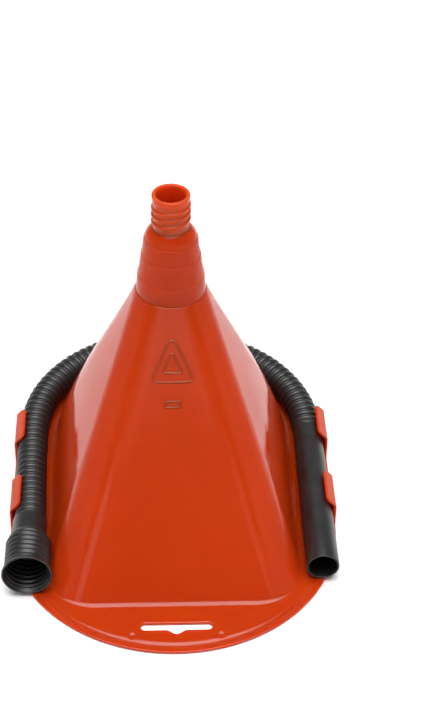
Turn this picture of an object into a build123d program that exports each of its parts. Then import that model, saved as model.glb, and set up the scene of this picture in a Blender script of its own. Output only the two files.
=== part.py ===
from build123d import *
import math
import os

# Fuel funnel standing mouth down, with its filling hose clipped round the foot of the cone.
# Frame: origin in the middle of the flange's outline, Z = 0 on the mouth plane that it stands on, Z up
# towards the spout, X to the right, -Y towards the end with the hanging slot. Millimetres.

# Flange round the mouth: two half discs joined by straight sides
FLANGE_HALF_WIDTH = 99.0
FLANGE_THICKNESS = 1.6
FAR_CENTRE_Y = 40.25
NEAR_CENTRE_Y = -40.25

# Hanging slot, with a notch that centres the funnel on a nail
SLOT_Y = -119.8
SLOT_HALF_LENGTH = 20.7
SLOT_WIDTH = 5.3
NOTCH_HALF_WIDTH = 5.8
NOTCH_DEPTH = 3.0

# Cone between the mouth and the neck, whose axis stands at NECK_Y
NECK_Y = 51.25
MOUTH_HALF_WIDTH = 75.5
MOUTH_FRONT_Y = -102.8
MOUTH_CORNER_RADIUS = 28.0
INNER_MOUTH_INSET = 1.4
CONE_TOP_Z = 117.0
CONE_TOP_RADIUS = 21.8
CONE_SIDE_SPAN = 5.0
CONE_FRONT_SPAN = 14.0
CONE_SECTIONS = [0.86, 0.72, 0.58, 0.44, 0.3, 0.15]
SECTION_STEPS = 10
SWELL = 0.52

# Neck and threaded spout
WALL = 1.9
NECK_STEPS = [(117.0, 21.5), (128.4, 19.9), (142.8, 17.6), (154.0, 15.9)]
STEP_LEDGE = 0.4
SHOULDER_RIM_Z = 157.4
SHOULDER_RIM_RADIUS = 14.9
SHOULDER_TOP_Z = 161.5
SPOUT_TOP_Z = 184.0
SPOUT_CORE_RADIUS = 10.6
SPOUT_NOSE_RADIUS = 11.1
SPOUT_NOSE_Z = 181.4
SPOUT_NOSE_STEP = 0.3
SPOUT_TIP_CHAMFER = 0.8
SPOUT_BORE_RADIUS = 8.4
THREAD_RADIUS = 11.6
THREAD_PITCH = 4.7
THREAD_TURNS = 4
THREAD_FIRST_Z = 165.2
THREAD_HALF_WIDTH = 1.5

# Hose, held in a U round the cone. Its route starts at the outlet tube on the right, runs round the
# far end, and rises a little at the left so that the wider cuff clears the flange.
HOSE_RADIUS = 9.5
HOSE_BORE_RADIUS = 7.8
HOSE_Z = 11.8
HOSE_ROUTE = [
    (87.0, 37.8, HOSE_Z),
    (86.1, 63.6, HOSE_Z),
    (62.8, 104.0, HOSE_Z),
    (22.4, 127.3, HOSE_Z),
    (-24.2, 127.3, HOSE_Z),
    (-64.6, 104.0, HOSE_Z),
    (-87.8, 63.6, HOSE_Z),
    (-87.8, -0.8, HOSE_Z),
    (-86.4, -31.8, 12.9),
    (-86.4, -46.8, 14.8),
]
ARC_SHARE = 0.98

# Smooth outlet tube on the hose's right-hand end
TUBE_START_RADIUS = 9.0
TUBE_RADIUS = 9.75
TUBE_WALL = 1.2
TUBE_GAP = 1.5
TUBE_TAPER_LENGTH = 85.0
TUBE_END_Y = -84.3

# Screw cuff on the hose's left-hand end, measured along its own axis
CUFF_TILT = 2.5
CUFF_GAP = 1.1
COLLAR_RADIUS = 10.3
COLLAR_LENGTH = 13.5
FLARE_LENGTH = 6.5
CUFF_RADIUS = 13.6
CUFF_LENGTH = 45.5
LIP_RADIUS = 14.9
LIP_LENGTH = 2.6
LIP_CHAMFER = 1.0
CUFF_BORE_RADIUS = 12.0
CUFF_BORE_LENGTH = 24.0
CUFF_THROAT_RADIUS = 8.4
THROAT_TAPER = 2.5

# Spring clips standing on the flange's edge
CLIP_THICKNESS = 1.6
CLIP_LENGTH = 27.0
CLIP_GAP = 0.05
CLIP_BEND_Z = 16.5
LIP_REACH = 5.2
FRONT_CLIP_Y = -25.0
REAR_CLIP_Y = 36.2

PARTS = "parts"


def write(name, shape):
    shape.label = name
    export_step(shape, f"{PARTS}/{name}.step")
    print(name, "volume", round(shape.volume))


def flange_outline():
    straight = FAR_CENTRE_Y - NEAR_CENTRE_Y
    middle = Pos(0, (FAR_CENTRE_Y + NEAR_CENTRE_Y) / 2) * Rectangle(2 * FLANGE_HALF_WIDTH, straight)
    far_end = Pos(0, FAR_CENTRE_Y) * Circle(FLANGE_HALF_WIDTH)
    near_end = Pos(0, NEAR_CENTRE_Y) * Circle(FLANGE_HALF_WIDTH)
    return middle + far_end + near_end


def hanging_slot():
    bar = Pos(0, SLOT_Y) * SlotOverall(2 * SLOT_HALF_LENGTH, SLOT_WIDTH)
    edge_y = SLOT_Y - SLOT_WIDTH / 2
    notch = Polygon(
        (-NOTCH_HALF_WIDTH, SLOT_Y),
        (-NOTCH_HALF_WIDTH, edge_y),
        (0, edge_y - NOTCH_DEPTH),
        (NOTCH_HALF_WIDTH, edge_y),
        (NOTCH_HALF_WIDTH, SLOT_Y),
        align=None,
    )
    return bar + notch


def mouth_wire(inset, z):
    """The mouth's outline, round at the far end and square-cornered at the near end, moved in by inset."""
    half = MOUTH_HALF_WIDTH - inset
    front = MOUTH_FRONT_Y + inset
    corner = MOUTH_CORNER_RADIUS - inset
    corner_x = half - corner
    corner_y = front + corner
    reach = corner * math.sin(math.pi / 4)
    far_y = FAR_CENTRE_Y
    edges = [
        ThreePointArc((half, far_y, z), (0, far_y + half, z), (-half, far_y, z)),
        Line((-half, far_y, z), (-half, corner_y, z)),
        ThreePointArc((-half, corner_y, z), (-corner_x - reach, corner_y - reach, z), (-corner_x, front, z)),
        Line((-corner_x, front, z), (corner_x, front, z)),
        ThreePointArc((corner_x, front, z), (corner_x + reach, corner_y - reach, z), (half, corner_y, z)),
        Line((half, corner_y, z), (half, far_y, z)),
    ]
    return Wire(edges)


def neck_wire(radius, z):
    """A circle cut into the six arcs that the mouth's six edges run to."""
    left = [180, 180 + CONE_SIDE_SPAN, 270 - CONE_FRONT_SPAN]
    right = [270 + CONE_FRONT_SPAN, 360 - CONE_SIDE_SPAN, 360]
    stops = [0] + left + right

    def point(angle):
        turn = math.radians(angle)
        return (radius * math.cos(turn), NECK_Y + radius * math.sin(turn), z)

    pairs = zip(stops, stops[1:])
    return Wire([ThreePointArc(point(a), point((a + b) / 2), point(b)) for a, b in pairs])


def fullness(stretch, t):
    """How much the wall swells at a place on the outline: fully round the far half, not at all in front."""
    if stretch == 0:
        return SWELL
    if stretch == 3:
        return 0
    side = FAR_CENTRE_Y - MOUTH_FRONT_Y - MOUTH_CORNER_RADIUS
    corner = MOUTH_CORNER_RADIUS * math.pi / 2
    from_far_end = t if stretch in (1, 2) else 1 - t
    if stretch in (1, 5):
        along = side * from_far_end
    else:
        along = side + corner * from_far_end
    return SWELL * math.cos(math.pi / 2 * along / (side + corner)) ** 2


def swollen_wire(mouth, neck, share):
    """A section of the cone between its neck, at share 0, and its mouth, at share 1."""
    edges = []
    for stretch, (low, high) in enumerate(zip(mouth.edges(), neck.edges())):
        points = []
        for step in range(SECTION_STEPS + 1):
            t = step / SECTION_STEPS
            out = share + fullness(stretch, t) * share**2 * (1 - share)
            spread = low @ t - high @ t
            rise = spread.Z * (share - out)
            points.append(high @ t + spread * out + Vector(0, 0, rise))
        edges.append(Line(*points[::SECTION_STEPS]) if stretch == 3 else Spline(*points))
    return Wire(edges)


def cone(mouth, neck):
    middle = [swollen_wire(mouth, neck, share) for share in CONE_SECTIONS]
    return Solid.make_loft([mouth] + middle + [neck], ruled=True)


def cone_outside():
    return cone(mouth_wire(0, FLANGE_THICKNESS), neck_wire(CONE_TOP_RADIUS, CONE_TOP_Z))


def cone_inside():
    return cone(mouth_wire(INNER_MOUTH_INSET, 0), neck_wire(CONE_TOP_RADIUS - WALL, CONE_TOP_Z))


def turned(profile):
    """A solid turned about Z from (radius, z) points."""
    points = [(radius, 0, z) for radius, z in profile]
    face = make_face(Polyline(*points, close=True))
    return revolve(face, Axis.Z)


def make_neck():
    outside = []
    for index, (z, radius) in enumerate(NECK_STEPS):
        if index:
            outside.append((radius + STEP_LEDGE, z))
        outside.append((radius, z))
    outside += [(SHOULDER_RIM_RADIUS, SHOULDER_RIM_Z), (SPOUT_CORE_RADIUS + STEP_LEDGE, SHOULDER_TOP_Z)]
    inside = [
        (SPOUT_BORE_RADIUS, SHOULDER_TOP_Z),
        (SPOUT_BORE_RADIUS, SHOULDER_TOP_Z - WALL),
        (SHOULDER_RIM_RADIUS - WALL, SHOULDER_RIM_Z - WALL),
        (NECK_STEPS[0][1] - WALL, NECK_STEPS[0][0]),
    ]
    return Pos(0, NECK_Y) * turned(outside + inside)


def make_spout():
    """The outlet, with rounded thread ridges on a plain core and a smooth nose."""
    outside = [(SPOUT_CORE_RADIUS, SHOULDER_TOP_Z)]
    for turn in range(THREAD_TURNS):
        crest_z = THREAD_FIRST_Z + turn * THREAD_PITCH
        outside += [
            (SPOUT_CORE_RADIUS, crest_z - THREAD_HALF_WIDTH),
            (THREAD_RADIUS, crest_z - THREAD_HALF_WIDTH / 3),
            (THREAD_RADIUS, crest_z + THREAD_HALF_WIDTH / 3),
            (SPOUT_CORE_RADIUS, crest_z + THREAD_HALF_WIDTH),
        ]
    outside += [
        (SPOUT_CORE_RADIUS, SPOUT_NOSE_Z - SPOUT_NOSE_STEP),
        (SPOUT_NOSE_RADIUS, SPOUT_NOSE_Z),
        (SPOUT_NOSE_RADIUS, SPOUT_TOP_Z - SPOUT_TIP_CHAMFER),
        (SPOUT_NOSE_RADIUS - SPOUT_TIP_CHAMFER, SPOUT_TOP_Z),
    ]
    bore = [(SPOUT_BORE_RADIUS, SPOUT_TOP_Z), (SPOUT_BORE_RADIUS, SHOULDER_TOP_Z)]
    return Pos(0, NECK_Y) * turned(outside + bore)


def make_flange():
    plate = extrude(flange_outline() - hanging_slot(), FLANGE_THICKNESS)
    return plate - cone_inside()


def make_bowl():
    return cone_outside() - cone_inside()


def bend_radius(before, corner, after, is_first, is_last):
    """The largest arc that fits, using half of a run that two corners share and all of an end run."""
    turn = math.radians((corner - before).get_angle(after - corner))
    room_before = (corner - before).length * (1 if is_first else 0.5)
    room_after = (after - corner).length * (1 if is_last else 0.5)
    return ARC_SHARE * min(room_before, room_after) / math.tan(turn / 2)


def hose_path():
    """The hose's centreline: straight runs joined by tangent arcs."""
    points = [Vector(*point) for point in HOSE_ROUTE]
    corners = range(1, len(points) - 1)
    radii = [
        bend_radius(points[i - 1], points[i], points[i + 1], i == corners[0], i == corners[-1])
        for i in corners
    ]
    print("hose bend radii", [round(radius) for radius in radii])
    return FilletPolyline(*points, radius=radii)


def make_hose():
    path = hose_path()
    ring = Plane(origin=path @ 0, z_dir=path % 0) * (Circle(HOSE_RADIUS) - Circle(HOSE_BORE_RADIUS))
    hose = sweep(ring, path=path)
    section = math.pi * (HOSE_RADIUS**2 - HOSE_BORE_RADIUS**2)
    ratio = hose.volume / (section * path.length)
    print("hose length", round(path.length, 1), "volume ratio", round(ratio, 4))
    return hose


def make_outlet_tube():
    """The smooth end of the hose, widening gently towards its open mouth."""
    hose_x, hose_y, hose_z = HOSE_ROUTE[0]
    start_y = hose_y - TUBE_GAP
    length = start_y - TUBE_END_Y
    outside = [(TUBE_START_RADIUS, 0), (TUBE_RADIUS, TUBE_TAPER_LENGTH), (TUBE_RADIUS, length)]
    inside = [(radius - TUBE_WALL, z) for radius, z in reversed(outside)]
    start = Plane(origin=(hose_x, start_y, hose_z), x_dir=(1, 0, 0), z_dir=(0, -1, 0))
    return start * turned(outside + inside)


def make_cuff():
    """The cuff, turned about its own axis and then laid on the raised end of the hose."""
    flare_end = COLLAR_LENGTH + FLARE_LENGTH
    lip_start = CUFF_LENGTH - LIP_LENGTH
    bore_start = CUFF_LENGTH - CUFF_BORE_LENGTH
    profile = [
        (COLLAR_RADIUS, CUFF_GAP),
        (COLLAR_RADIUS, COLLAR_LENGTH),
        (CUFF_RADIUS, flare_end),
        (CUFF_RADIUS, lip_start - LIP_CHAMFER),
        (LIP_RADIUS, lip_start),
        (LIP_RADIUS, CUFF_LENGTH),
        (CUFF_BORE_RADIUS, CUFF_LENGTH),
        (CUFF_BORE_RADIUS, bore_start),
        (CUFF_THROAT_RADIUS, bore_start - THROAT_TAPER),
        (CUFF_THROAT_RADIUS, CUFF_GAP),
    ]
    tilt = math.radians(CUFF_TILT)
    seat = Plane(
        origin=HOSE_ROUTE[-1],
        x_dir=(1, 0, 0),
        z_dir=(0, -math.cos(tilt), math.sin(tilt)),
    )
    return seat * turned(profile)


def clip_profile():
    """The hook's section in (outward, up) from the flange's edge: an upright plate with its top bent in."""
    base = FLANGE_THICKNESS + CLIP_GAP
    thick = CLIP_THICKNESS
    lean = thick * math.tan(math.pi / 8)
    tip_offset = thick * math.sin(math.pi / 4)
    inner_tip = (-thick - LIP_REACH, CLIP_BEND_Z + LIP_REACH)
    return [
        (0, base),
        (0, CLIP_BEND_Z + lean),
        (inner_tip[0] + tip_offset, inner_tip[1] + tip_offset),
        inner_tip,
        (-thick, CLIP_BEND_Z),
        (-thick, base),
    ]


def make_side_clip(side, y):
    points = [(side * (FLANGE_HALF_WIDTH + out), y + CLIP_LENGTH / 2, up) for out, up in clip_profile()]
    face = make_face(Polyline(*points, close=True))
    return extrude(face, CLIP_LENGTH, dir=(0, -1, 0))


def make_far_clip():
    """The same hook, turned through a short arc about the flange's far centre."""
    span = math.degrees(CLIP_LENGTH / FLANGE_HALF_WIDTH)
    centre = Axis((0, FAR_CENTRE_Y, 0), (0, 0, 1))
    points = [(FLANGE_HALF_WIDTH + out, FAR_CENTRE_Y, up) for out, up in clip_profile()]
    face = make_face(Polyline(*points, close=True)).rotate(centre, 90 - span / 2)
    return revolve(face, centre, revolution_arc=span)


def main():
    os.makedirs(PARTS, exist_ok=True)
    write("rim_flange", make_flange())
    write("funnel_bowl", make_bowl())
    write("stepped_neck", make_neck())
    write("threaded_spout", make_spout())
    write("hose", make_hose())
    write("outlet_tube", make_outlet_tube())
    write("screw_cuff", make_cuff())
    for name, side, y in [
        ("clip_front_left", -1, FRONT_CLIP_Y),
        ("clip_front_right", 1, FRONT_CLIP_Y),
        ("clip_rear_left", -1, REAR_CLIP_Y),
        ("clip_rear_right", 1, REAR_CLIP_Y),
    ]:
        write(name, make_side_clip(side, y))
    write("clip_far", make_far_clip())


main()
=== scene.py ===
"""Looks of the fuel funnel: an orange moulding standing mouth down, with its black hose clipped on."""

import math
from collections import namedtuple

import bmesh
import bpy
from mathutils import Matrix, Vector


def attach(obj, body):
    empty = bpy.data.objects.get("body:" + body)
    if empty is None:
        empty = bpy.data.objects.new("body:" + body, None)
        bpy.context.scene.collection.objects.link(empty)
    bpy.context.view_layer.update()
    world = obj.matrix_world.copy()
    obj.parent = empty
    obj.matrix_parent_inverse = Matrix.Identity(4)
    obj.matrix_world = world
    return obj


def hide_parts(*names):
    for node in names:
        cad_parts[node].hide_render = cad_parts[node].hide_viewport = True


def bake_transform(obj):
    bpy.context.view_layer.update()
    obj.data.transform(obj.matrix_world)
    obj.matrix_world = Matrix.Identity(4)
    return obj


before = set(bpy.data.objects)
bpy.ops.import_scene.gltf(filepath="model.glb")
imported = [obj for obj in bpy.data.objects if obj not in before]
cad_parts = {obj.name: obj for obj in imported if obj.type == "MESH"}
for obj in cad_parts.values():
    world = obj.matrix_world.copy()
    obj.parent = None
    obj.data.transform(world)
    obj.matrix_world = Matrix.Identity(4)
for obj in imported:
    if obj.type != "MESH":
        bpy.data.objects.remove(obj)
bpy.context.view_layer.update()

# Sizes are in millimetres, as in the CAD model, and meshes are scaled to metres as they are made.
MM = 0.001

# The largest share of either side that a rounded corner takes
LARGEST_CUT = 0.45

# Flange round the mouth
FLANGE_HALF_WIDTH = 99.0
FLANGE_END_Y = 40.25
FLANGE_THICKNESS = 1.6
FLANGE_EDGE_RADIUS = 0.6
BORDER_OFFSET = 5.0
BORDER_WIDTH = 0.9
BORDER_DEPTH = 0.3
BORDER_FULLNESS = 0.7
EDGE_STEPS = 4

# Hanging slot, with its notch's tip as (half width, rise) points, and the two dimples beside it
SLOT_Y = -119.8
SLOT_HALF_LENGTH = 20.7
SLOT_WIDTH = 5.3
NOTCH_HALF_WIDTH = 5.8
NOTCH_DEPTH = 3.0
NOTCH_SOFTNESS = 0.9
NOTCH_EASE = 0.25
NOTCH_TIP = [(2.2, 0.9), (1.2, 0.2)]
SLOT_END_STEPS = 12
CUTTER_LOW_Z = -4
CUTTER_HIGH_Z = 6
DIMPLE_X = 25.5
DIMPLE_Y = -126.8
DIMPLE_SPHERE_RADIUS = 8.0
DIMPLE_DEPTH = 0.4
DIMPLE_SEGMENTS = 48

# Cone
MOUTH_HALF_WIDTH = 75.5
MOUTH_FRONT_Y = -102.8
MOUTH_CORNER_RADIUS = 28.0
INNER_MOUTH_INSET = 1.4
OUTER_FILLET_RADIUS = 5.4
INNER_FILLET_RADIUS = 7.0
NECK_Y = 51.25
CONE_TOP_Z = 117.0
TOP_EDGE = 0.15
CONE_TOP_RADIUS = 21.8
CONE_SIDE_SPAN = 5.0
CONE_FRONT_SPAN = 14.0
SWELL = 0.52
SWELL_END = 0.77
FAR_COLUMNS = 120
SIDE_COLUMNS = 44
CORNER_COLUMNS = 36
FRONT_COLUMNS = 24
FILLET_STEPS = 10
WALL_STEPS = 48
FLANGE_STEPS = 10

# Raised mark on the front panel, measured up the panel from the mouth: two triangles, and a box below
MARK_LOW = 131.0
MARK_HIGH = 159.0
MARK_HALF_WIDTH = 13.5
MARK_CORNER_RADIUS = 6.0
INNER_MARK_SHARE = 0.45
INNER_MARK_CENTRE = 0.36
INNER_MARK_CORNER_RADIUS = 2.0
BOX_LOW = 116.0
BOX_HIGH = 119.5
BOX_HALF_WIDTH = 4.5
BOX_CORNER_RADIUS = 1.0
MARK_LINE_WIDTH = 1.4
MARK_LINE_HEIGHT = 0.28
MARK_LINE_DEPTH = 0.3
MARK_LINE_FULLNESS = 0.8
MARK_CORNER_STEPS = 8

# Neck, with the height and radius where each of its steps starts, and shoulder
WALL = 1.9
NECK_STEPS = [(117.0, 21.5), (128.4, 19.9), (142.8, 17.6), (154.0, 15.9)]
STEP_LEDGE = 0.4
NECK_ROOT = 0.5
NECK_EDGE_RADIUS = 0.3
NECK_COLUMNS = 160
SHOULDER_RIM_Z = 157.4
SHOULDER_RIM_RADIUS = 14.9
SHOULDER_TOP_Z = 161.5
SHOULDER_FULLNESS = 0.4
SHOULDER_STEPS = 10

# Spout, with its mouth's inside edge as (distance out from the bore, distance down) points
SPOUT_TOP_Z = 184.0
SPOUT_CORE_RADIUS = 10.6
SPOUT_NOSE_RADIUS = 11.4
SPOUT_NOSE_Z = 180.6
SPOUT_NOSE_EASE = 0.5
SPOUT_FOOT_HEIGHT = 0.8
SPOUT_TIP_RADIUS = 0.8
SPOUT_TIP_STEPS = 6
SPOUT_BORE_RADIUS = 8.4
SPOUT_LIP = [(1.0, 0.0), (0.7, 0.3), (0.4, 2.0), (0.0, 5.0)]
SPOUT_STEPS = 96
THREAD_HEIGHT = 1.25
THREAD_PITCH = 4.7
THREAD_START_Z = 163.4
THREAD_TURNS = 3.3
THREAD_HALF_WIDTH = 1.5
THREAD_FLATNESS = 1.4
THREAD_RUN_OUT = 50

# Hose: the CAD model's route, and the corrugations along it
HOSE_Z = 11.8
HOSE_ROUTE = [
    (87.0, 37.8, HOSE_Z),
    (86.1, 63.6, HOSE_Z),
    (62.8, 104.0, HOSE_Z),
    (22.4, 127.3, HOSE_Z),
    (-24.2, 127.3, HOSE_Z),
    (-64.6, 104.0, HOSE_Z),
    (-87.8, 63.6, HOSE_Z),
    (-87.8, -0.8, HOSE_Z),
    (-86.4, -31.8, 12.9),
    (-86.4, -46.8, 14.8),
]
HOSE_LINE_STEPS = 48
HOSE_RADIUS = 9.5
HOSE_WALL = 1.0
RING_PITCH = 5.0
RING_DEPTH = 1.8
RING_FULLNESS = 2.4
ROWS_PER_RING = 10
HOSE_COLUMNS = 56

# Outlet tube, with a bead of (radius, distance) points where it leaves the rings
TUBE_BEAD = [(9.15, 0.0), (9.4, 1.0), (9.3, 1.9)]
TUBE_BEAD_LENGTH = 3.2
TUBE_START_RADIUS = 9.0
TUBE_RADIUS = 9.75
TUBE_WALL = 1.2
TUBE_TAPER_LENGTH = 85.0
TUBE_TAPER_STEPS = 8
TUBE_MOUTH_LENGTH = 14.0
TUBE_EDGE_RADIUS = 0.55
TUBE_COLUMNS = 112
TUBE_END_Y = -84.3

# Cuff, measured along its own axis
CUFF_TILT = 2.5
COLLAR_RADIUS = 10.3
COLLAR_LENGTH = 13.5
FLARE_LENGTH = 6.5
CUFF_RADIUS = 13.6
CUFF_LENGTH = 45.5
LIP_RADIUS = 14.9
LIP_LENGTH = 2.6
CUFF_WALL = 1.1
CUFF_THREAD_DEPTH = 0.9
CUFF_PITCH = 3.8
CUFF_THREAD_FLATNESS = 0.9
CUFF_THREAD_RUN_IN = 2.5
CUFF_THREAD_RUN_OUT = 1.0
CUFF_THREAD_END_GAP = 0.5
CUFF_EDGE_STEPS = 6
CUFF_COLUMNS = 128
CUFF_STEPS = 150

# Clips
CLIP_THICKNESS = 1.6
CLIP_LENGTH = 27.0
CLIP_LEAN = math.radians(45)
CLIP_BEND_Z = 16.5
CLIP_BEND_RADIUS = 2.6
CLIP_CORNER_RADIUS = 3.0
CLIP_EDGE_RADIUS = 0.3
CLIP_EDGE_SEGMENTS = 2
SHARP_ANGLE = math.radians(35)
CLIP_TAPER = 0.12
CLIP_NOSE = 0.7
CLIP_BLEND_HEIGHT = 6
PLATE_STEPS = 6
BEND_STEPS = 6
LIP_STEPS = 5
NOSE_STEPS = 6
CORNER_STEPS = 8
MIDDLE_SECTIONS = (-6.0, 0.0, 6.0)
LIP_REACH = 5.2
FRONT_CLIP_Y = -25.0
REAR_CLIP_Y = 36.2

# Plastics: the two ends of each colour's faint clouding
ORANGE = [(0.44, 0.032, 0.0022), (0.48, 0.037, 0.0030)]
# The spout's orange is painted lighter than the rest of the moulding: a painted glow for light passing
# through its thin wall.
SPOUT_GLOW_ORANGE = [(0.50, 0.055, 0.006), (0.54, 0.062, 0.008)]
BLACK = [(0.0085, 0.0080, 0.0080), (0.0150, 0.0142, 0.0142)]
PALE_GREY = [(0.92, 0.92, 0.92), (0.94, 0.94, 0.94)]

# Studio: brightness of the surroundings against the height of the direction, 0 at the horizon
SKY_STRENGTH = 7.0
SKY = [
    (0.0, 0.16),
    (0.15, 0.08),
    (0.5, 0.05),
    (0.66, 0.06),
    (0.75, 0.008),
    (0.82, 0.02),
    (0.87, 0.13),
    (0.95, 1.0),
]

# Soft boxes: a pair in front, alike but for their power, in degrees, metres and watts
SOFTBOX_AZIMUTH = 44
SOFTBOX_ELEVATION = 40
SOFTBOX_DISTANCE = 1.5
SOFTBOX_WIDTH = 0.25
SOFTBOX_HEIGHT = 0.6
SOFTBOX_TARGET = Vector((0, 0.02, 0.06))
LEFT_POWER = 0.45
RIGHT_POWER = 0.2

# Floor, in metres, just below the rim
FLOOR_HALF_WIDTH = 60.0
FLOOR_Z = -0.0003

# Camera: its place in millimetres, and the directions that it looks in and calls right
CAMERA_PLACE = Vector((-16.6, -781.5, 744.2))
CAMERA_FORWARD = Vector((0.0371, 0.7470, -0.6637))
CAMERA_RIGHT = Vector((0.9992, -0.0363, 0.0150))
CAMERA_LENS = 85.8
CAMERA_SENSOR_WIDTH = 36.0
CAMERA_SHIFT_X = 0.0147
CAMERA_SHIFT_Y = 0.0905
CAMERA_NEAR = 0.05
CAMERA_FAR = 200.0


# ---- mesh helpers ----


def to_object(name, points, faces):
    mesh = bpy.data.meshes.new(name)
    mesh.from_pydata([Vector(p) * MM for p in points], [], faces)
    mesh.validate()
    for polygon in mesh.polygons:
        polygon.use_smooth = True
    obj = bpy.data.objects.new(name, mesh)
    bpy.context.scene.collection.objects.link(obj)
    return obj


def closed_grid(name, rows):
    """A ring-shaped solid: rows of points that close on themselves, the last row joined to the first."""
    count = len(rows[0])
    points = [p for row in rows for p in row]
    faces = []
    for i in range(len(rows)):
        k = (i + 1) % len(rows)
        for j in range(count):
            n = (j + 1) % count
            faces.append((i * count + j, i * count + n, k * count + n, k * count + j))
    obj = to_object(name, points, faces)
    face_outwards(obj)
    return obj


def face_outwards(obj):
    bm = bmesh.new()
    bm.from_mesh(obj.data)
    bmesh.ops.recalc_face_normals(bm, faces=bm.faces)
    bm.to_mesh(obj.data)
    bm.free()


def apply_modifiers(obj):
    graph = bpy.context.evaluated_depsgraph_get()
    mesh = bpy.data.meshes.new_from_object(obj.evaluated_get(graph))
    obj.modifiers.clear()
    obj.data = mesh


def bevel_edges(obj, width):
    bevel = obj.modifiers.new("edges", "BEVEL")
    bevel.width = width * MM
    bevel.segments = CLIP_EDGE_SEGMENTS
    bevel.limit_method = "ANGLE"
    bevel.angle_limit = SHARP_ANGLE
    bevel.harden_normals = False
    apply_modifiers(obj)


def turned_rows(profile, columns, place):
    """Rows for closed_grid: a closed profile of (radius, height) points turned about place's Z axis."""
    angles = [2 * math.pi * j / columns for j in range(columns)]
    return [[place @ Vector((r * math.cos(a), r * math.sin(a), h)) for a in angles] for r, h in profile]


def fillet_profile(profile, radius, steps=3):
    """A closed (radius, height) profile with each corner cut by a small curve."""
    rounded = []
    count = len(profile)
    for i in range(count):
        corner = Vector(profile[i])
        before = Vector(profile[i - 1]) - corner
        after = Vector(profile[(i + 1) % count]) - corner
        reach = min(radius, before.length * LARGEST_CUT, after.length * LARGEST_CUT)
        start = corner + before.normalized() * reach
        end = corner + after.normalized() * reach
        for step in range(steps + 1):
            t = step / steps
            rounded.append(tuple(start * (1 - t) ** 2 + corner * 2 * t * (1 - t) + end * t**2))
    return rounded


# ---- flange and cone ----


# A column of the mouth's outline. Its angle is the one that it meets the neck at, in degrees. Its share
# is how far it is along half of the near edge, and is None round the far half.
Column = namedtuple("Column", ["point", "normal", "angle", "share"])


def far_columns():
    """The round far half of the outline, from its right end to its left."""
    columns = []
    for i in range(FAR_COLUMNS):
        a = math.pi * i / FAR_COLUMNS
        normal = Vector((math.cos(a), math.sin(a)))
        point = Vector((0, FLANGE_END_Y)) + normal * MOUTH_HALF_WIDTH
        columns.append(Column(point, normal, math.degrees(a), None))
    return columns


def left_columns():
    """The left half of the near edge: a straight side, a rounded corner, and half of the flat front."""
    columns = []
    corner_x = MOUTH_HALF_WIDTH - MOUTH_CORNER_RADIUS
    corner_y = MOUTH_FRONT_Y + MOUTH_CORNER_RADIUS
    side_length = FLANGE_END_Y - corner_y
    corner_length = MOUTH_CORNER_RADIUS * math.pi / 2
    half_length = side_length + corner_length + corner_x
    for i in range(SIDE_COLUMNS):
        t = i / SIDE_COLUMNS
        point = Vector((-MOUTH_HALF_WIDTH, FLANGE_END_Y - side_length * t))
        share = side_length * t / half_length
        columns.append(Column(point, Vector((-1, 0)), 180 + CONE_SIDE_SPAN * t, share))
    for i in range(CORNER_COLUMNS):
        t = i / CORNER_COLUMNS
        a = math.pi + t * math.pi / 2
        normal = Vector((math.cos(a), math.sin(a)))
        point = Vector((-corner_x, corner_y)) + normal * MOUTH_CORNER_RADIUS
        angle = 180 + CONE_SIDE_SPAN + (90 - CONE_SIDE_SPAN - CONE_FRONT_SPAN) * t
        columns.append(Column(point, normal, angle, (side_length + corner_length * t) / half_length))
    for i in range(FRONT_COLUMNS):
        t = i / FRONT_COLUMNS
        point = Vector((-corner_x * (1 - t), MOUTH_FRONT_Y))
        share = (side_length + corner_length + corner_x * t) / half_length
        columns.append(Column(point, Vector((0, -1)), 270 - CONE_FRONT_SPAN * (1 - t), share))
    return columns


def mirrored(column):
    point = Vector((-column.point.x, column.point.y))
    normal = Vector((-column.normal.x, column.normal.y))
    return Column(point, normal, 540 - column.angle, column.share)


def mouth_columns():
    """The whole outline: the far half, the left side, the middle of the front, and the right side."""
    left = left_columns()
    middle = Column(Vector((0, MOUTH_FRONT_Y)), Vector((0, -1)), 270, 1)
    right = [mirrored(column) for column in reversed(left[1:])]
    return far_columns() + left + [middle] + right


def flange_point(column, offset):
    """The point of the flange's outline, moved in by offset, that goes with a column of the mouth."""
    radius = FLANGE_HALF_WIDTH - offset
    if column.share is None:
        return Vector((0, FLANGE_END_Y)) + column.normal * radius
    straight = 2 * FLANGE_END_Y
    along = column.share * (straight + FLANGE_HALF_WIDTH * math.pi / 2)
    side = -1 if column.point.x < 0 else 1
    if along <= straight:
        return Vector((side * radius, FLANGE_END_Y - along))
    a = (along - straight) / FLANGE_HALF_WIDTH
    return Vector((side * radius * math.cos(a), -FLANGE_END_Y - radius * math.sin(a)))


def neck_point(column, radius):
    a = math.radians(column.angle)
    return Vector((radius * math.cos(a), NECK_Y + radius * math.sin(a)))


def swell(column):
    """How full the wall is at a column: full round the far half, and fading to none at the flat front."""
    if column.share is None:
        return SWELL
    return SWELL * math.cos(math.pi / 2 * min(1, column.share / SWELL_END)) ** 2


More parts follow.
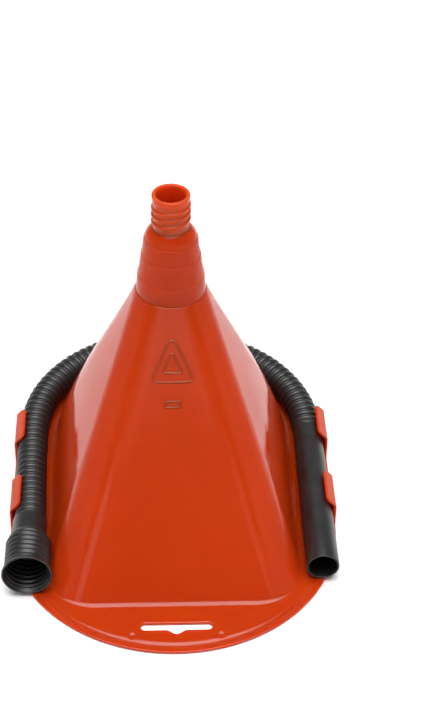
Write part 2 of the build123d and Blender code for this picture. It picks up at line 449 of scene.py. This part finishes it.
class Wall:
    """One side of the cone's wall along a column, with a fillet where it meets the flange."""

    def __init__(self, column, inset, foot_z, neck_radius, fillet):
        self.normal = column.normal
        self.foot = column.point - self.normal * inset
        self.foot_z = foot_z
        self.across = neck_point(column, neck_radius) - self.foot
        self.height = CONE_TOP_Z - foot_z
        self.swell = swell(column)
        self.slope = math.atan2(self.height, -self.across.dot(self.normal) * (1 - self.swell))
        self.fillet = fillet
        self.setback = fillet * math.tan(self.slope / 2)

    def at(self, z):
        up = (z - self.foot_z) / self.height
        point = self.foot + self.across * (up - self.swell * up * (1 - up) ** 2)
        return (point.x, point.y, z)

    def fillet_top(self):
        return self.foot_z + self.fillet * (1 - math.cos(self.slope))

    def fillet_at(self, share):
        """share 0 is on the flange, and 1 is where the wall starts."""
        turn = self.slope * share
        rise = self.fillet * (1 - math.cos(turn))
        out = self.setback - self.fillet * math.sin(turn) + rise / math.tan(self.slope)
        point = self.foot + self.across * (rise / self.height * (1 - self.swell)) + self.normal * out
        return (point.x, point.y, self.foot_z + rise)


def rim_rows(columns):
    """The flange's profile from its top, round its edge to its underside, as (offset, height) pairs."""
    edge = FLANGE_EDGE_RADIUS
    middle = BORDER_OFFSET
    half = BORDER_WIDTH / 2
    top = FLANGE_THICKNESS
    full = BORDER_FULLNESS
    groove = [(half, 0), (half / 2, full), (0, 1), (-half / 2, full), (-half, 0)]
    profile = [(middle + aside, top - BORDER_DEPTH * depth) for aside, depth in groove]
    turns = [math.pi / 2 * i / EDGE_STEPS for i in range(EDGE_STEPS + 1)]
    profile += [(edge * (1 - math.sin(a)), top - edge * (1 - math.cos(a))) for a in turns]
    profile += [(edge * (1 - math.cos(a)), edge * (1 - math.sin(a))) for a in turns]
    profile.append((middle, 0))
    rows = []
    for offset, z in profile:
        points = [flange_point(column, offset) for column in columns]
        rows.append([(p.x, p.y, z) for p in points])
    return rows


def between(row_a, row_b, steps):
    """Rows evenly spaced between two rows, without the two themselves."""
    rows = []
    for step in range(1, steps):
        t = step / steps
        rows.append([tuple(Vector(a).lerp(Vector(b), t)) for a, b in zip(row_a, row_b)])
    return rows


def wall_rows(walls, steps):
    """Rows up a wall, from the top of its fillet to the neck."""
    rows = []
    for step in range(1, steps + 1):
        t = step / steps
        row = []
        for wall in walls:
            start = wall.fillet_top()
            row.append(wall.at(start + (CONE_TOP_Z - TOP_EDGE - start) * t))
        rows.append(row)
    rows.append([wall.at(CONE_TOP_Z) for wall in walls])
    return rows


def slot_cutter():
    """The hanging slot: a bar with round ends, and a notch in its outer edge."""
    half = SLOT_WIDTH / 2
    centre_x = SLOT_HALF_LENGTH - half
    outline = []
    for side, first in ((1, -90), (-1, 90)):
        for step in range(SLOT_END_STEPS + 1):
            a = math.radians(first + 180 * step / SLOT_END_STEPS)
            outline.append((side * centre_x + half * math.cos(a), SLOT_Y + half * math.sin(a)))
    edge_y = SLOT_Y - half
    tip_y = edge_y - NOTCH_DEPTH
    notch = [
        (NOTCH_HALF_WIDTH + NOTCH_SOFTNESS, edge_y),
        (NOTCH_HALF_WIDTH - NOTCH_SOFTNESS, edge_y - NOTCH_EASE),
    ]
    notch += [(x, tip_y + rise) for x, rise in NOTCH_TIP]
    outline += [(-x, y) for x, y in notch]
    outline.append((0, tip_y))
    outline += reversed(notch)
    count = len(outline)
    points = [(x, y, z) for z in (CUTTER_LOW_Z, CUTTER_HIGH_Z) for x, y in outline]
    faces = [(j, (j + 1) % count, count + (j + 1) % count, count + j) for j in range(count)]
    faces += [tuple(reversed(range(count))), tuple(range(count, 2 * count))]
    cutter = to_object("slot_cutter", points, faces)
    face_outwards(cutter)
    return cutter


def dimple_cutter(side):
    bm = bmesh.new()
    bmesh.ops.create_uvsphere(
        bm,
        u_segments=DIMPLE_SEGMENTS,
        v_segments=DIMPLE_SEGMENTS,
        radius=DIMPLE_SPHERE_RADIUS * MM,
    )
    mesh = bpy.data.meshes.new("dimple_cutter")
    bm.to_mesh(mesh)
    bm.free()
    cutter = bpy.data.objects.new("dimple_cutter", mesh)
    height = FLANGE_THICKNESS + DIMPLE_SPHERE_RADIUS - DIMPLE_DEPTH
    cutter.location = Vector((side * DIMPLE_X, DIMPLE_Y, height)) * MM
    bpy.context.scene.collection.objects.link(cutter)
    return cutter


def cut_away(obj, cutters):
    for cutter in cutters:
        boolean = obj.modifiers.new("cut", "BOOLEAN")
        boolean.object = cutter
        boolean.operation = "DIFFERENCE"
        boolean.solver = "EXACT"
    apply_modifiers(obj)
    for cutter in cutters:
        bpy.data.objects.remove(cutter)


def make_rim_and_bowl():
    columns = mouth_columns()
    outer = [Wall(c, 0, FLANGE_THICKNESS, CONE_TOP_RADIUS, OUTER_FILLET_RADIUS) for c in columns]
    inner = [Wall(c, INNER_MOUTH_INSET, 0, CONE_TOP_RADIUS - WALL, INNER_FILLET_RADIUS) for c in columns]
    shares = [step / FILLET_STEPS for step in range(FILLET_STEPS + 1)]
    outside = [[wall.fillet_at(share) for wall in outer] for share in shares]
    outside += wall_rows(outer, WALL_STEPS)
    inside = [[wall.fillet_at(share) for wall in inner] for share in shares]
    inside += wall_rows(inner, WALL_STEPS)
    rim = rim_rows(columns)
    top = between(outside[0], rim[0], FLANGE_STEPS)
    under = between(rim[-1], inside[0], FLANGE_STEPS)

    rows = list(reversed(outside)) + top + rim + under + inside
    obj = closed_grid("rim_and_bowl", rows)
    cut_away(obj, [slot_cutter(), dimple_cutter(-1), dimple_cutter(1)])
    for polygon in obj.data.polygons:
        polygon.use_smooth = True
    return obj


# ---- raised mark on the front panel ----


def panel_point(x, along, lift):
    """A point of the flat front: x across it, along up it from the mouth, and lift above it."""
    foot = Vector((x, MOUTH_FRONT_Y, FLANGE_THICKNESS))
    rise = Vector((0, NECK_Y - CONE_TOP_RADIUS - MOUTH_FRONT_Y, CONE_TOP_Z - FLANGE_THICKNESS)).normalized()
    outward = Vector((0, -rise.z, rise.y))
    return foot + rise * along + outward * lift


def make_raised_line(name, corners, radius):
    """A low rounded ridge that follows a closed outline with rounded corners."""
    half = MARK_LINE_WIDTH / 2
    low = -MARK_LINE_DEPTH
    full = MARK_LINE_FULLNESS
    section = [(-half, low), (-half, 0), (-half / 2, full), (0, 1), (half / 2, full), (half, 0), (half, low)]
    path = [Vector(p) for p in fillet_profile(corners, radius, MARK_CORNER_STEPS)]
    rows = []
    for i, point in enumerate(path):
        along = (path[(i + 1) % len(path)] - path[i - 1]).normalized()
        aside = Vector((-along.y, along.x))
        row = []
        for offset, lift in section:
            spot = point + aside * offset
            row.append(panel_point(spot.x, spot.y, lift * MARK_LINE_HEIGHT))
        rows.append(row)
    return closed_grid(name, rows)


def make_mark():
    """A plain triangle inside another, and a plain box under them."""
    outer = [(-MARK_HALF_WIDTH, MARK_LOW), (MARK_HALF_WIDTH, MARK_LOW), (0, MARK_HIGH)]
    middle = MARK_LOW + (MARK_HIGH - MARK_LOW) * INNER_MARK_CENTRE
    inner = [(x * INNER_MARK_SHARE, middle + (y - middle) * INNER_MARK_SHARE) for x, y in outer]
    box = [
        (-BOX_HALF_WIDTH, BOX_LOW),
        (BOX_HALF_WIDTH, BOX_LOW),
        (BOX_HALF_WIDTH, BOX_HIGH),
        (-BOX_HALF_WIDTH, BOX_HIGH),
    ]
    return [
        make_raised_line("mark_outer", outer, MARK_CORNER_RADIUS),
        make_raised_line("mark_inner", inner, INNER_MARK_CORNER_RADIUS),
        make_raised_line("mark_box", box, BOX_CORNER_RADIUS),
    ]


# ---- neck and spout ----


def neck_place():
    return Matrix.Translation((0, NECK_Y, 0))


def shoulder_profile():
    """The shoulder between the neck and the spout, a little fuller than a plain cone."""
    rim = Vector((SHOULDER_RIM_RADIUS, SHOULDER_RIM_Z))
    crown = Vector((SPOUT_CORE_RADIUS + STEP_LEDGE, SHOULDER_TOP_Z))
    bend = rim.lerp(crown, 0.5) + Vector((SHOULDER_FULLNESS, SHOULDER_FULLNESS))
    shares = [i / SHOULDER_STEPS for i in range(SHOULDER_STEPS + 1)]
    return [tuple(rim * (1 - t) ** 2 + bend * 2 * t * (1 - t) + crown * t**2) for t in shares]


def make_neck():
    outside = []
    for index, (z, radius) in enumerate(NECK_STEPS):
        if index:
            outside.append((radius + STEP_LEDGE, z))
        outside.append((radius, z if index else z - NECK_ROOT))
    outside += shoulder_profile()
    inside = [
        (SPOUT_BORE_RADIUS, SHOULDER_TOP_Z),
        (SPOUT_BORE_RADIUS, SHOULDER_TOP_Z - WALL),
        (SHOULDER_RIM_RADIUS - WALL, SHOULDER_RIM_Z - WALL),
        (NECK_STEPS[0][1] - WALL, NECK_STEPS[0][0] - NECK_ROOT),
    ]
    profile = fillet_profile(outside + inside, NECK_EDGE_RADIUS)
    return closed_grid("stepped_neck", turned_rows(profile, NECK_COLUMNS, neck_place()))


def ridge(distance, half_width):
    """A rounded thread ridge across its width: 1 on its crest and 0 beyond half_width."""
    share = min(1.0, abs(distance) / half_width)
    return 0.5 + 0.5 * math.cos(math.pi * share**THREAD_FLATNESS)


def thread_lift(angle, z):
    """How much of the thread's height stands at an angle and height, with both of its ends run out."""
    last = THREAD_TURNS * 2 * math.pi
    rise = THREAD_PITCH * angle / (2 * math.pi)
    turn = round((z - THREAD_START_Z - rise) / THREAD_PITCH)
    along = turn * 2 * math.pi + angle
    ends = min(along, last - along) / math.radians(THREAD_RUN_OUT)
    crest_z = THREAD_START_Z + THREAD_PITCH * along / (2 * math.pi)
    return max(0.0, min(1.0, ends)) * ridge(z - crest_z, THREAD_HALF_WIDTH)


def spout_radius(angle, z):
    """The core, widened a little at its foot and at its nose, with the thread on it."""
    base = SPOUT_CORE_RADIUS
    foot = max(0.0, 1 - (z - SHOULDER_TOP_Z) / SPOUT_FOOT_HEIGHT)
    base += STEP_LEDGE * foot**2
    nose = max(0.0, min(1.0, (z - SPOUT_NOSE_Z + SPOUT_NOSE_EASE) / (2 * SPOUT_NOSE_EASE)))
    base += (SPOUT_NOSE_RADIUS - SPOUT_CORE_RADIUS) * nose * nose * (3 - 2 * nose)
    return base + THREAD_HEIGHT * thread_lift(angle, z)


def make_spout():
    angles = [2 * math.pi * j / NECK_COLUMNS for j in range(NECK_COLUMNS)]
    tip = SPOUT_TIP_RADIUS
    height = SPOUT_TOP_Z - tip - SHOULDER_TOP_Z
    rows = []
    for i in range(SPOUT_STEPS + 1):
        z = SHOULDER_TOP_Z + height * i / SPOUT_STEPS
        radii = [spout_radius(a, z) for a in angles]
        rows.append([(r * math.cos(a), r * math.sin(a), z) for r, a in zip(radii, angles)])
    rim = []
    for i in range(1, SPOUT_TIP_STEPS + 1):
        a = math.pi / 2 * i / SPOUT_TIP_STEPS
        rim.append((SPOUT_NOSE_RADIUS - tip * (1 - math.cos(a)), SPOUT_TOP_Z - tip * (1 - math.sin(a))))
    rim += [(SPOUT_BORE_RADIUS + out, SPOUT_TOP_Z - down) for out, down in SPOUT_LIP]
    rim += [(SPOUT_BORE_RADIUS, (SPOUT_TOP_Z + SHOULDER_TOP_Z) / 2), (SPOUT_BORE_RADIUS, SHOULDER_TOP_Z)]
    rows += [[(r * math.cos(a), r * math.sin(a), z) for a in angles] for r, z in rim]
    place = neck_place()
    return closed_grid("threaded_spout", [[place @ Vector(p) for p in row] for row in rows])


# ---- hose, outlet tube and cuff ----


def hose_line():
    """Points along the hose's route, read from a smooth curve that has the route as its control points."""
    curve = bpy.data.curves.new("hose_route", "CURVE")
    curve.dimensions = "3D"
    curve.resolution_u = HOSE_LINE_STEPS
    spline = curve.splines.new("NURBS")
    spline.points.add(len(HOSE_ROUTE) - 1)
    for point, place in zip(spline.points, HOSE_ROUTE):
        point.co = (*place, 1)
    spline.order_u = 3
    spline.use_endpoint_u = True
    carrier = bpy.data.objects.new("hose_route", curve)
    mesh = bpy.data.meshes.new_from_object(carrier)
    line = [v.co.copy() for v in mesh.vertices]
    bpy.data.objects.remove(carrier)
    bpy.data.curves.remove(curve)
    bpy.data.meshes.remove(mesh)
    return line


def evenly_spaced(line, step):
    """Points of the line a step apart, with the distance along it of each."""
    lengths = [0.0]
    for a, b in zip(line, line[1:]):
        lengths.append(lengths[-1] + (b - a).length)
    count = round(lengths[-1] / step)
    spaced = []
    k = 0
    for i in range(count + 1):
        s = lengths[-1] * i / count
        while k < len(line) - 2 and lengths[k + 1] < s:
            k += 1
        t = (s - lengths[k]) / max(lengths[k + 1] - lengths[k], 1e-9)
        spaced.append((s, line[k].lerp(line[k + 1], t)))
    return spaced


def corrugation(s):
    """How far below a ring's crest the hose is at a distance along it, from 0 to 1 in the grooves."""
    from_crest = abs((s / RING_PITCH) % 1 - 0.5) * 2
    return from_crest**RING_FULLNESS


def make_hose():
    spaced = evenly_spaced(hose_line(), RING_PITCH / ROWS_PER_RING)
    centres = [p for _, p in spaced]
    up = Vector((0, 0, 1))
    outer = []
    inner = []
    for i, (s, centre) in enumerate(spaced):
        along = (centres[min(i + 1, len(centres) - 1)] - centres[max(i - 1, 0)]).normalized()
        side = along.cross(up).normalized()
        top = side.cross(along)
        radius = HOSE_RADIUS - RING_DEPTH * corrugation(s)
        for rows, r in ((outer, radius), (inner, radius - HOSE_WALL)):
            row = []
            for j in range(HOSE_COLUMNS):
                a = 2 * math.pi * j / HOSE_COLUMNS
                row.append(centre + side * (r * math.cos(a)) + top * (r * math.sin(a)))
            rows.append(row)
    obj = closed_grid("corrugated_hose", outer + list(reversed(inner)))
    return obj, [tuple(c * MM) for c in centres]


def make_outlet_tube():
    """The smooth end of the hose: a bead, a thin tube that widens gently, and a plain open mouth."""
    hose_x, hose_y, hose_z = HOSE_ROUTE[0]
    length = hose_y - TUBE_END_Y
    outside = list(TUBE_BEAD)
    for i in range(TUBE_TAPER_STEPS + 1):
        t = i / TUBE_TAPER_STEPS
        radius = TUBE_START_RADIUS + (TUBE_RADIUS - TUBE_START_RADIUS) * t
        outside.append((radius, TUBE_BEAD_LENGTH + (TUBE_TAPER_LENGTH - TUBE_BEAD_LENGTH) * t))
    outside += [(TUBE_RADIUS, length - TUBE_MOUTH_LENGTH), (TUBE_RADIUS, length)]
    inside = [(r - TUBE_WALL, z) for r, z in reversed(outside)]
    profile = fillet_profile(outside + inside, TUBE_EDGE_RADIUS)
    place = Matrix.Translation((hose_x, hose_y, hose_z)) @ Matrix.Rotation(math.radians(90), 4, "X")
    return closed_grid("outlet_tube_smooth", turned_rows(profile, TUBE_COLUMNS, place))


def cuff_thread(angle, along):
    """The moulded thread's groove depth on the skirt, from 0 to 1, run out at both ends."""
    first = COLLAR_LENGTH + CUFF_THREAD_RUN_IN
    last = CUFF_LENGTH - LIP_LENGTH - CUFF_THREAD_END_GAP
    run_in = (along - first) / CUFF_THREAD_RUN_IN
    run_out = (last - along) / CUFF_THREAD_RUN_OUT
    fade = max(0.0, min(1.0, run_in, run_out))
    phase = abs(((along / CUFF_PITCH + angle / (2 * math.pi)) % 1) - 0.5) * 2
    return fade * (0.5 + 0.5 * math.cos(math.pi * phase**CUFF_THREAD_FLATNESS))


def cuff_radius(angle, along):
    """A collar, a flare, a skirt with a moulded thread, and a lip that turns out."""
    flare = max(0.0, min(1.0, (along - COLLAR_LENGTH) / FLARE_LENGTH))
    lip = max(0.0, min(1.0, (along - (CUFF_LENGTH - LIP_LENGTH)) / LIP_LENGTH))
    radius = COLLAR_RADIUS + (CUFF_RADIUS - COLLAR_RADIUS) * flare * flare * (3 - 2 * flare)
    radius += (LIP_RADIUS - CUFF_RADIUS) * math.sin(math.pi / 2 * lip)
    return radius - CUFF_THREAD_DEPTH * cuff_thread(angle, along)


def make_cuff():
    """A thin moulded wall, so the thread shows inside and out, with its edge rounded."""
    tilt = math.radians(CUFF_TILT)
    place = Matrix.Translation(HOSE_ROUTE[-1]) @ Matrix.Rotation(math.radians(90) - tilt, 4, "X")
    edge = CUFF_WALL / 2
    stations = [(CUFF_LENGTH - edge) * i / CUFF_STEPS for i in range(CUFF_STEPS + 1)]
    rounds = [math.pi * i / CUFF_EDGE_STEPS for i in range(1, CUFF_EDGE_STEPS)]
    spots = [(along, 0.0) for along in stations]
    spots += [(stations[-1] + edge * math.sin(a), edge * (1 - math.cos(a))) for a in rounds]
    spots += [(along, CUFF_WALL) for along in reversed(stations)]
    rows = []
    for along, depth in spots:
        row = []
        for j in range(CUFF_COLUMNS):
            angle = 2 * math.pi * j / CUFF_COLUMNS
            radius = cuff_radius(angle, along) - depth
            row.append(place @ Vector((radius * math.cos(angle), radius * math.sin(angle), along)))
        rows.append(row)
    return closed_grid("screw_cuff_skirt", rows)


# ---- clips ----


def clip_path():
    """The hook's mid-line as (outward, up) points: an upright plate, a bend, and a lip leaning in."""
    half = CLIP_THICKNESS / 2
    foot_z = FLANGE_THICKNESS / 2
    cut = CLIP_BEND_RADIUS * math.tan(CLIP_LEAN / 2)
    bend_z = CLIP_BEND_Z + half * math.tan(CLIP_LEAN / 2)
    path = [(-half, foot_z + (bend_z - cut - foot_z) * i / PLATE_STEPS) for i in range(PLATE_STEPS + 1)]
    for i in range(1, BEND_STEPS + 1):
        a = CLIP_LEAN * i / BEND_STEPS
        x = -half - CLIP_BEND_RADIUS * (1 - math.cos(a))
        path.append((x, bend_z - cut + CLIP_BEND_RADIUS * math.sin(a)))
    length = LIP_REACH / math.cos(CLIP_LEAN) - cut
    x, z = path[-1]
    for i in range(1, LIP_STEPS + 1):
        reach = length * i / LIP_STEPS
        path.append((x - math.sin(CLIP_LEAN) * reach, z + math.cos(CLIP_LEAN) * reach))
    return path


def clip_sections():
    """Places along the clip, and how much the lip is cut short there so that its corners are round."""
    corner = CLIP_CORNER_RADIUS
    half = CLIP_LENGTH / 2
    turns = [math.pi / 2 * i / CORNER_STEPS for i in range(CORNER_STEPS + 1)]
    start = [(-half + corner * (1 - math.cos(a)), corner * (1 - math.sin(a))) for a in turns]
    middle = [(along, 0.0) for along in MIDDLE_SECTIONS]
    end = [(-along, cut) for along, cut in reversed(start)]
    return start + middle + end


def clip_section(cut):
    """One section's closed outline: the mid-line with its lip cut short, given the plate's thickness."""
    points = [Vector(p) for p in clip_path()]
    lip_start = PLATE_STEPS + BEND_STEPS
    foot = points[lip_start]
    shrink = 1 - cut / (points[-1] - foot).length
    points = points[: lip_start + 1] + [foot + (p - foot) * shrink for p in points[lip_start + 1 :]]
    half = CLIP_THICKNESS / 2
    left = []
    right = []
    for i, p in enumerate(points):
        along = (points[min(i + 1, len(points) - 1)] - points[max(i - 1, 0)]).normalized()
        normal = Vector((along.y, -along.x))
        thin = half * (1 - CLIP_TAPER * i / (len(points) - 1))
        left.append(p + normal * thin)
        right.append(p - normal * thin)
    tip = points[-1]
    along = (points[-1] - points[-2]).normalized()
    nose = []
    for k in range(1, NOSE_STEPS):
        a = math.pi * k / NOSE_STEPS
        nose.append(tip + (left[-1] - tip) * math.cos(a) + along * half * CLIP_NOSE * math.sin(a))
    return left + nose + list(reversed(right))


def make_clip(name, place):
    """place turns (outward, along, up) into a point of the row frame."""
    sections = [(along, clip_section(cut)) for along, cut in clip_sections()]
    count = len(sections[0][1])
    points = [place(p.x, along, p.y) for along, section in sections for p in section]
    faces = []
    for i in range(len(sections) - 1):
        for j in range(count):
            n = (j + 1) % count
            faces.append((i * count + j, i * count + n, (i + 1) * count + n, (i + 1) * count + j))
    last = (len(sections) - 1) * count
    faces.append(tuple(reversed(range(count))))
    faces.append(tuple(range(last, last + count)))
    obj = to_object(name, points, faces)
    face_outwards(obj)
    bevel_edges(obj, CLIP_EDGE_RADIUS)
    return obj


def side_place(side, y):
    return lambda out, along, up: (side * (FLANGE_HALF_WIDTH + out), y + along, up)


def far_place(out, along, up):
    a = along / FLANGE_HALF_WIDTH
    radius = FLANGE_HALF_WIDTH + out
    return (radius * math.sin(a), FLANGE_END_Y + radius * math.cos(a), up)


# ---- materials ----


def node_material(name):
    material = bpy.data.materials.new(name)
    material.use_nodes = True
    nodes = material.node_tree.nodes
    return material, nodes, material.node_tree.links, nodes["Principled BSDF"]


def noise(nodes, links, coordinates, scale, detail, roughness=0.5):
    node = nodes.new("ShaderNodeTexNoise")
    node.inputs["Scale"].default_value = scale
    node.inputs["Detail"].default_value = detail
    node.inputs["Roughness"].default_value = roughness
    links.new(coordinates, node.inputs["Vector"])
    return node


def remap(nodes, links, value, low, high, start=0.3, end=0.7):
    node = nodes.new("ShaderNodeMapRange")
    node.inputs["From Min"].default_value = start
    node.inputs["From Max"].default_value = end
    node.inputs["To Min"].default_value = low
    node.inputs["To Max"].default_value = high
    links.new(value, node.inputs["Value"])
    return node.outputs["Result"]


def colour_mix(nodes, links, factor, first, second):
    node = nodes.new("ShaderNodeMix")
    node.data_type = "RGBA"
    node.inputs["A"].default_value = (*first, 1)
    node.inputs["B"].default_value = (*second, 1)
    links.new(factor, node.inputs["Factor"])
    return node.outputs["Result"]


def moulded_bump(nodes, links, bsdf, coordinates, layers):
    """Bump layers as (scale, detail, distance in millimetres), stacked into the shader's normal."""
    normal = None
    for scale, detail, distance in layers:
        bump = nodes.new("ShaderNodeBump")
        bump.inputs["Strength"].default_value = 1.0
        bump.inputs["Distance"].default_value = distance * MM
        links.new(noise(nodes, links, coordinates, scale, detail).outputs["Fac"], bump.inputs["Height"])
        if normal:
            links.new(normal, bump.inputs["Normal"])
        normal = bump.outputs["Normal"]
    links.new(normal, bsdf.inputs["Normal"])


def orange_plastic(name, depth, gloss, colours):
    """Orange-red polypropylene, faintly marked, that light enters to a depth in millimetres.

    The gloss is the shader's specular level: the neck, spout and clips come duller from the mould.
    """
    material, nodes, links, bsdf = node_material(name)
    coordinates = nodes.new("ShaderNodeTexCoord").outputs["Object"]
    clouds = noise(nodes, links, coordinates, scale=14, detail=3)
    factor = remap(nodes, links, clouds.outputs["Fac"], low=0, high=1)
    colour = colour_mix(nodes, links, factor, *colours)
    links.new(colour, bsdf.inputs["Base Color"])
    smears = noise(nodes, links, coordinates, scale=55, detail=5, roughness=0.6)
    roughness = remap(nodes, links, smears.outputs["Fac"], low=0.06, high=0.12)
    links.new(roughness, bsdf.inputs["Roughness"])
    bsdf.inputs["IOR"].default_value = 1.49
    bsdf.inputs["Specular IOR Level"].default_value = gloss
    bsdf.inputs["Subsurface Weight"].default_value = 0.7
    bsdf.inputs["Subsurface Radius"].default_value = (1.0, 0.25, 0.08)
    bsdf.inputs["Subsurface Scale"].default_value = depth * MM
    moulded_bump(nodes, links, bsdf, coordinates, [(35, 2, 0.10), (900, 2, 0.006)])
    return material


def black_plastic():
    """Satin black polyethylene, a little dusty, with a fine blow-moulded skin."""
    material, nodes, links, bsdf = node_material("black_polyethylene")
    coordinates = nodes.new("ShaderNodeTexCoord").outputs["Object"]
    dust = noise(nodes, links, coordinates, scale=90, detail=6, roughness=0.65)
    factor = remap(nodes, links, dust.outputs["Fac"], low=0, high=1, start=0.35, end=0.75)
    colour = colour_mix(nodes, links, factor, *BLACK)
    links.new(colour, bsdf.inputs["Base Color"])
    roughness = remap(nodes, links, dust.outputs["Fac"], low=0.30, high=0.42)
    links.new(roughness, bsdf.inputs["Roughness"])
    bsdf.inputs["IOR"].default_value = 1.5
    moulded_bump(nodes, links, bsdf, coordinates, [(1500, 2, 0.004)])
    return material


def floor_material():
    material, nodes, links, bsdf = node_material("pale_floor")
    coordinates = nodes.new("ShaderNodeTexCoord").outputs["Object"]
    patches = noise(nodes, links, coordinates, scale=3, detail=2)
    factor = remap(nodes, links, patches.outputs["Fac"], low=0, high=1)
    colour = colour_mix(nodes, links, factor, *PALE_GREY)
    links.new(colour, bsdf.inputs["Base Color"])
    bsdf.inputs["Roughness"].default_value = 0.9
    return material


# ---- stage, lights and camera ----


def make_floor():
    half = FLOOR_HALF_WIDTH
    corners = [(-half, -half, 0), (half, -half, 0), (half, half, 0), (-half, half, 0)]
    mesh = bpy.data.meshes.new("floor")
    mesh.from_pydata(corners, [], [(0, 1, 2, 3)])
    floor = bpy.data.objects.new("floor", mesh)
    floor.location.z = FLOOR_Z
    floor.data.materials.append(floor_material())
    bpy.context.scene.collection.objects.link(floor)


def add_softbox(name, azimuth, power):
    """An area light aimed at the cone. Azimuth 0 is on the camera's side, and positive is to the right."""
    a = math.radians(azimuth)
    e = math.radians(SOFTBOX_ELEVATION)
    back = Vector((math.sin(a) * math.cos(e), -math.cos(a) * math.cos(e), math.sin(e)))
    light = bpy.data.lights.new(name, "AREA")
    light.shape = "RECTANGLE"
    light.size = SOFTBOX_WIDTH
    light.size_y = SOFTBOX_HEIGHT
    light.energy = power
    obj = bpy.data.objects.new(name, light)
    obj.location = SOFTBOX_TARGET + back * SOFTBOX_DISTANCE
    obj.rotation_mode = "QUATERNION"
    obj.rotation_quaternion = (-back).to_track_quat("-Z", "Y")
    bpy.context.scene.collection.objects.link(obj)


def make_world():
    """A pale studio: bright at the horizon, dark above the camera, and bright again overhead."""
    world = bpy.data.worlds.new("studio")
    world.use_nodes = True
    nodes = world.node_tree.nodes
    links = world.node_tree.links
    direction = nodes.new("ShaderNodeTexCoord").outputs["Generated"]
    split = nodes.new("ShaderNodeSeparateXYZ")
    links.new(direction, split.inputs["Vector"])
    ramp = nodes.new("ShaderNodeValToRGB")
    ramp.color_ramp.interpolation = "EASE"
    stops = ramp.color_ramp.elements
    for height, _ in SKY[2:]:
        stops.new(height)
    for stop, (height, level) in zip(stops, SKY):
        stop.position = height
        stop.color = (level, level, level, 1)
    links.new(split.outputs["Z"], ramp.inputs["Fac"])
    links.new(ramp.outputs["Color"], nodes["Background"].inputs["Color"])
    nodes["Background"].inputs["Strength"].default_value = SKY_STRENGTH
    bpy.context.scene.world = world


def make_lights():
    add_softbox("softbox_left", -SOFTBOX_AZIMUTH, LEFT_POWER)
    add_softbox("softbox_right", SOFTBOX_AZIMUTH, RIGHT_POWER)


def make_camera():
    """The camera stands in front, above and a little to the left, looking down at the cone."""
    camera = bpy.data.cameras.new("camera")
    camera.lens = CAMERA_LENS
    camera.sensor_width = CAMERA_SENSOR_WIDTH
    camera.shift_x = CAMERA_SHIFT_X
    camera.shift_y = CAMERA_SHIFT_Y
    camera.clip_start = CAMERA_NEAR
    camera.clip_end = CAMERA_FAR
    obj = bpy.data.objects.new("camera", camera)
    forward = CAMERA_FORWARD.normalized()
    right = (CAMERA_RIGHT - forward * CAMERA_RIGHT.dot(forward)).normalized()
    up = right.cross(forward)
    turn = Matrix((right, up, -forward)).transposed().to_4x4()
    obj.matrix_world = Matrix.Translation(CAMERA_PLACE * MM) @ turn
    bpy.context.scene.collection.objects.link(obj)
    bpy.context.scene.camera = obj


# ---- putting it together ----


def dress(obj, material, slot, *nodes):
    obj.data.materials.clear()
    obj.data.materials.append(material)
    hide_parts(*nodes)
    return obj


def build_funnel():
    slot = "orange_polypropylene"
    orange = orange_plastic("orange_polypropylene", depth=8, gloss=0.33, colours=ORANGE)
    satin = orange_plastic("orange_satin", depth=8, gloss=0.14, colours=ORANGE)
    # The spout takes the lighter orange, a painted glow for light passing through its thin wall.
    thin = orange_plastic("orange_spout", depth=14, gloss=0.2, colours=SPOUT_GLOW_ORANGE)
    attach(dress(make_rim_and_bowl(), orange, slot, "rim_flange", "funnel_bowl"), "funnel")
    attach(dress(make_neck(), satin, slot, "stepped_neck"), "funnel")
    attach(dress(make_spout(), thin, slot, "threaded_spout"), "funnel")
    for line in make_mark():
        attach(dress(line, orange, slot, "rim_flange", "funnel_bowl"), "funnel")


def build_clips():
    """Each clip's hook is made in place, with its foot on the flange."""
    satin = orange_plastic("orange_clips", depth=8, gloss=0.14, colours=ORANGE)
    places = {
        "clip_front_left": side_place(-1, FRONT_CLIP_Y),
        "clip_front_right": side_place(1, FRONT_CLIP_Y),
        "clip_rear_left": side_place(-1, REAR_CLIP_Y),
        "clip_rear_right": side_place(1, REAR_CLIP_Y),
        "clip_far": far_place,
    }
    for node, place in places.items():
        clip = dress(make_clip(node + "_hook", place), satin, "orange_polypropylene", node)
        foot = Vector(place(0, 0, FLANGE_THICKNESS / 2)) * MM
        knee = Vector(place(0, 0, FLANGE_THICKNESS / 2 + CLIP_BLEND_HEIGHT)) * MM
        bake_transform(clip)


def build_hose(black):
    slot = "black_polyethylene"
    tube = dress(make_outlet_tube(), black, slot, "outlet_tube")
    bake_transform(tube)
    cuff = dress(make_cuff(), black, slot, "screw_cuff")
    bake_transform(cuff)
    hose, centres = make_hose()
    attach(dress(hose, black, slot, "hose"), "funnel")


scene = bpy.context.scene
scene.view_settings.view_transform = "Standard"
make_camera()
make_world()
make_lights()
make_floor()
build_hose(black_plastic())
build_funnel()
build_clips()
